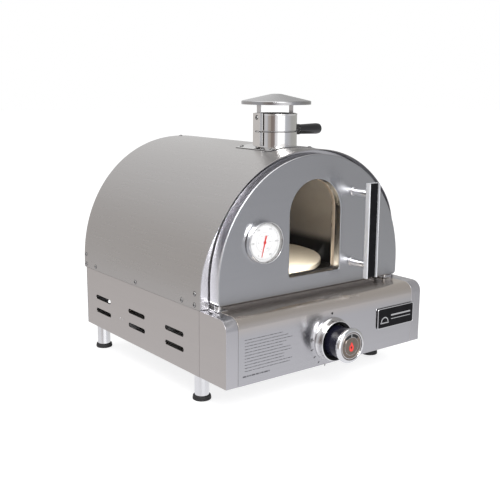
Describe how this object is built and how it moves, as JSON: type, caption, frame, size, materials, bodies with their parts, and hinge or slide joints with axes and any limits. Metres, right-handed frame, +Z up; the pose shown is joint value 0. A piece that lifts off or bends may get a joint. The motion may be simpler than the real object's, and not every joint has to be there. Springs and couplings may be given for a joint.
{
  "type": "countertop pizza oven",
  "caption": "Arched stainless gas pizza oven with a side-hinged windowed door, stone, gas knob, dial thermometer and a capped chimney with a damper.",
  "frame": {"origin": "on the table, under the middle of the overall box", "axes": "+Z up, the door and the knob face -Y, +X to the right of someone in front of the oven"},
  "size_m": [0.4516, 0.548, 0.5075],
  "materials": {
    "brushed_steel": "brushed stainless sheet, warm grey",
    "door_steel": "satin stainless, cooler grey",
    "panel_steel": "fine brushed stainless, light",
    "polished_steel": "mirror polished stainless",
    "satin_steel": "satin stainless",
    "zinc_steel": "zinc plated sheet, dull",
    "heat_steel": "heat tinted steel, brown grey",
    "brass": "machined brass",
    "chrome": "bright chrome",
    "stone": "bare cordierite, cream",
    "ceramic_fibre": "woven ceramic fibre, off white",
    "black_rubber": "moulded black rubber",
    "black_plastic": "glossy black phenolic",
    "white_enamel": "white printed dial",
    "red_paint": "red painted pointer",
    "glass": "clear heat resistant glass"
  },
  "bodies": {
    "oven_body": {"base_side_left": "brushed_steel", "base_side_right": "brushed_steel", "dome_shell": "brushed_steel", "front_plate": "brushed_steel", "control_panel": "panel_steel", "panel_end_left": "panel_steel", "panel_end_right": "panel_steel", "chimney_flange": "polished_steel", "chimney_tube": "polished_steel", "chimney_channel": "polished_steel", "leg_front_left": "satin_steel", "leg_front_right": "satin_steel", "leg_rear_left": "satin_steel", "leg_rear_right": "satin_steel", "chimney_cap": "satin_steel", "cap_leg_left": "satin_steel", "cap_leg_right": "satin_steel", "damper_pin": "satin_steel", "hinge_bracket": "satin_steel", "door_catch": "satin_steel", "manifold_pipe": "satin_steel", "base_rear_panel": "zinc_steel", "base_floor_pan": "zinc_steel", "dome_rear_panel": "zinc_steel", "ring_burner": "zinc_steel", "cavity_liner": "heat_steel", "cavity_floor": "heat_steel", "stone_rack": "heat_steel", "valve_body": "brass", "gas_inlet_fitting": "brass", "thermocouple": "brass", "knob_bezel": "chrome", "pizza_stone": "stone", "insulation_blanket": "ceramic_fibre", "igniter_electrode": "ceramic_fibre", "foot_boot_front_left": "black_rubber", "foot_boot_front_right": "black_rubber", "foot_boot_rear_left": "black_rubber", "foot_boot_rear_right": "black_rubber", "name_plate": "black_plastic"},
    "door": {"door_shell": "door_steel", "door_liner": "satin_steel", "door_glass": "glass", "door_seal": "ceramic_fibre", "hinge_sleeve": "satin_steel", "handle_bar": "chrome", "handle_insert": "black_plastic", "handle_post_lower": "chrome", "handle_post_upper": "chrome", "thermometer_case": "chrome", "thermometer_dial": "white_enamel", "thermometer_lens": "glass", "thermometer_probe": "satin_steel"},
    "gauge_needle": {"thermometer_needle": "red_paint"},
    "damper": {"damper_plate": "satin_steel", "damper_grip": "black_plastic"},
    "gas_plunger": {"valve_plunger": "brass"},
    "gas_knob": {"valve_stem": "satin_steel", "knob_body": "black_plastic", "knob_ring": "chrome"}
  },
  "joints": [
    {"name": "door_hinge", "type": "hinge", "parent": "oven_body", "child": "door", "pos_m": [-0.199, -0.166, 0.1727], "axis": [0, 0, -1], "range_deg": [0, 110]},
    {"name": "damper_swing", "type": "hinge", "parent": "oven_body", "child": "damper", "pos_m": [-0.04065, -0.065, 0.4425], "axis": [0, 0, -1], "range_deg": [0, 70]},
    {"name": "knob_push", "type": "slide", "parent": "oven_body", "child": "gas_plunger", "axis": [0, 1, 0], "range_m": [0, 0.0035], "stiffness_N_per_m": 600, "springref_m": -0.002},
    {"name": "knob_turn", "type": "hinge", "parent": "gas_plunger", "child": "gas_knob", "pos_m": [0, -0.224, 0.0935], "axis": [0, -1, 0], "range_deg": [0, 200]},
    {"name": "gauge_turn", "type": "hinge", "parent": "door", "child": "gauge_needle", "pos_m": [-0.116, -0.181, 0.27], "axis": [0, 1, 0], "range_deg": [0, 290]}
  ]
}
